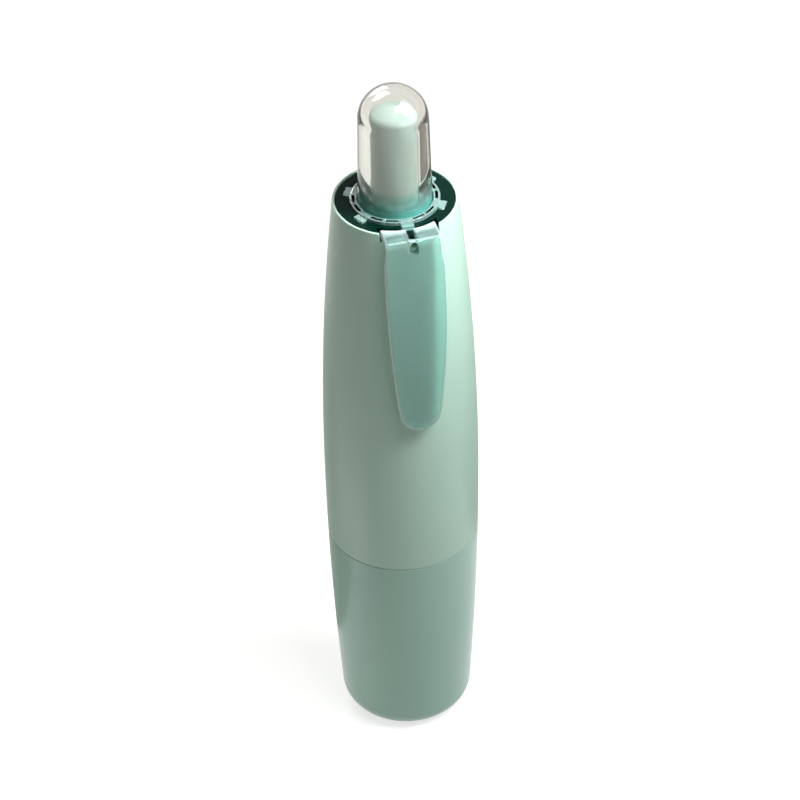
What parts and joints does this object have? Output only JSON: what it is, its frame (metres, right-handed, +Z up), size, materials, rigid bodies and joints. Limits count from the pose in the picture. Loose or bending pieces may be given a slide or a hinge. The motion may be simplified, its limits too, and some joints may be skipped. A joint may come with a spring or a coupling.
{
  "type": "press-button tape roller",
  "caption": "Pen-shaped tape roller: a clear domed button pushes a sprung carriage with geared supply and take-up reels, so that a roller-tipped tape head comes out of the nose.",
  "frame": {"origin": "under the middle of the part's box, on the end face of the nose; the pen's axis is 0.70 mm behind it, at y = +0.000702, because the clip stands out in front", "axes": "+Z up the pen's axis from the nose to the button, the pocket clip faces -Y, and the reels' axles run along X"},
  "size_m": [0.025, 0.0264, 0.1232],
  "materials": {
    "satin_mint": "satin pale mint moulded plastic",
    "nose_mint": "satin pale mint moulded plastic, a shade deeper",
    "dark_clear_teal": "see-through dark teal plastic",
    "pale_clear_teal": "see-through pale teal plastic",
    "clip_clear_teal": "see-through teal plastic",
    "clear_dome": "clear glossy plastic",
    "core_mint": "mint moulded plastic",
    "white_plastic": "white moulded plastic",
    "grey_acetal": "grey slippery plastic",
    "steel": "bright drawn wire",
    "rubber": "black friction rubber",
    "film": "white coated film",
    "liner": "bare release liner"
  },
  "bodies": {
    "nose": {"nose": "nose_mint"},
    "body": {"barrel": "satin_mint", "top_cap": "dark_clear_teal", "button_bush": "pale_clear_teal", "click_housing": "white_plastic", "return_spring": "steel"},
    "clip": {"clip": "clip_clear_teal"},
    "button": {"button_dome": "clear_dome", "button_core": "core_mint"},
    "carriage": {"carriage_frame": "white_plastic", "carriage_cover": "white_plastic", "head": "white_plastic", "roller_pin": "steel", "tape_run": "film", "rotor_retainer": "steel"},
    "rotor": {"cam_rotor": "grey_acetal"},
    "supply_reel": {"supply_spool": "white_plastic", "supply_tape": "film", "supply_gear": "grey_acetal", "clutch_washer": "rubber"},
    "idler": {"idler_gear": "grey_acetal"},
    "takeup_reel": {"takeup_spool": "white_plastic", "takeup_liner": "liner", "takeup_gear": "grey_acetal"},
    "tip": {"tip_roller": "grey_acetal"}
  },
  "joints": [
    {"name": "button_press", "type": "slide", "parent": "body", "child": "button", "axis": [0, 0, -1], "range_m": [0, 0.0075], "stiffness_N_per_m": 300, "springref_m": -0.005, "deforming": ["return_spring"]},
    {"name": "carriage_slide", "type": "slide", "parent": "body", "child": "carriage", "axis": [0, 0, -1], "range_m": [0, 0.0075]},
    {"name": "rotor_turn", "type": "hinge", "parent": "carriage", "child": "rotor", "pos_m": [0, 0.0007, 0.083], "axis": [0, 0, 1], "range_deg": [0, 60]},
    {"name": "supply_reel_spin", "type": "hinge", "parent": "carriage", "child": "supply_reel", "pos_m": [0, 0.0007, 0.05245], "axis": [-1, 0, 0], "continuous": true},
    {"name": "idler_spin", "type": "hinge", "parent": "carriage", "child": "idler", "pos_m": [0, 0.0007, 0.04045], "axis": [-1, 0, 0], "continuous": true},
    {"name": "takeup_reel_spin", "type": "hinge", "parent": "carriage", "child": "takeup_reel", "pos_m": [0, 0.0007, 0.0307], "axis": [-1, 0, 0], "continuous": true},
    {"name": "tip_roller_spin", "type": "hinge", "parent": "carriage", "child": "tip", "pos_m": [0, 0.0007, 0.00335], "axis": [-1, 0, 0], "continuous": true},
    {"name": "clip_flex", "type": "hinge", "parent": "body", "child": "clip", "pos_m": [0, -0.00903, 0.1016], "axis": [-1, 0, 0], "range_deg": [0, 5], "stiffness_Nm_per_rad": 0.5},
    {"name": "nose_pull", "type": "slide", "parent": "nose", "child": "body", "axis": [0, 0, 1], "range_m": [0, 0.045]}
  ],
  "couplings": [
    {"joint": "carriage_slide", "follows": "button_press", "ratio": 1},
    {"joint": "rotor_turn", "follows": "button_press", "rad_per_m": 139.6},
    {"joint": "idler_spin", "follows": "supply_reel_spin", "ratio": -1.6667},
    {"joint": "takeup_reel_spin", "follows": "supply_reel_spin", "ratio": 1.4286},
    {"joint": "tip_roller_spin", "follows": "supply_reel_spin", "ratio": 8.14}
  ]
}
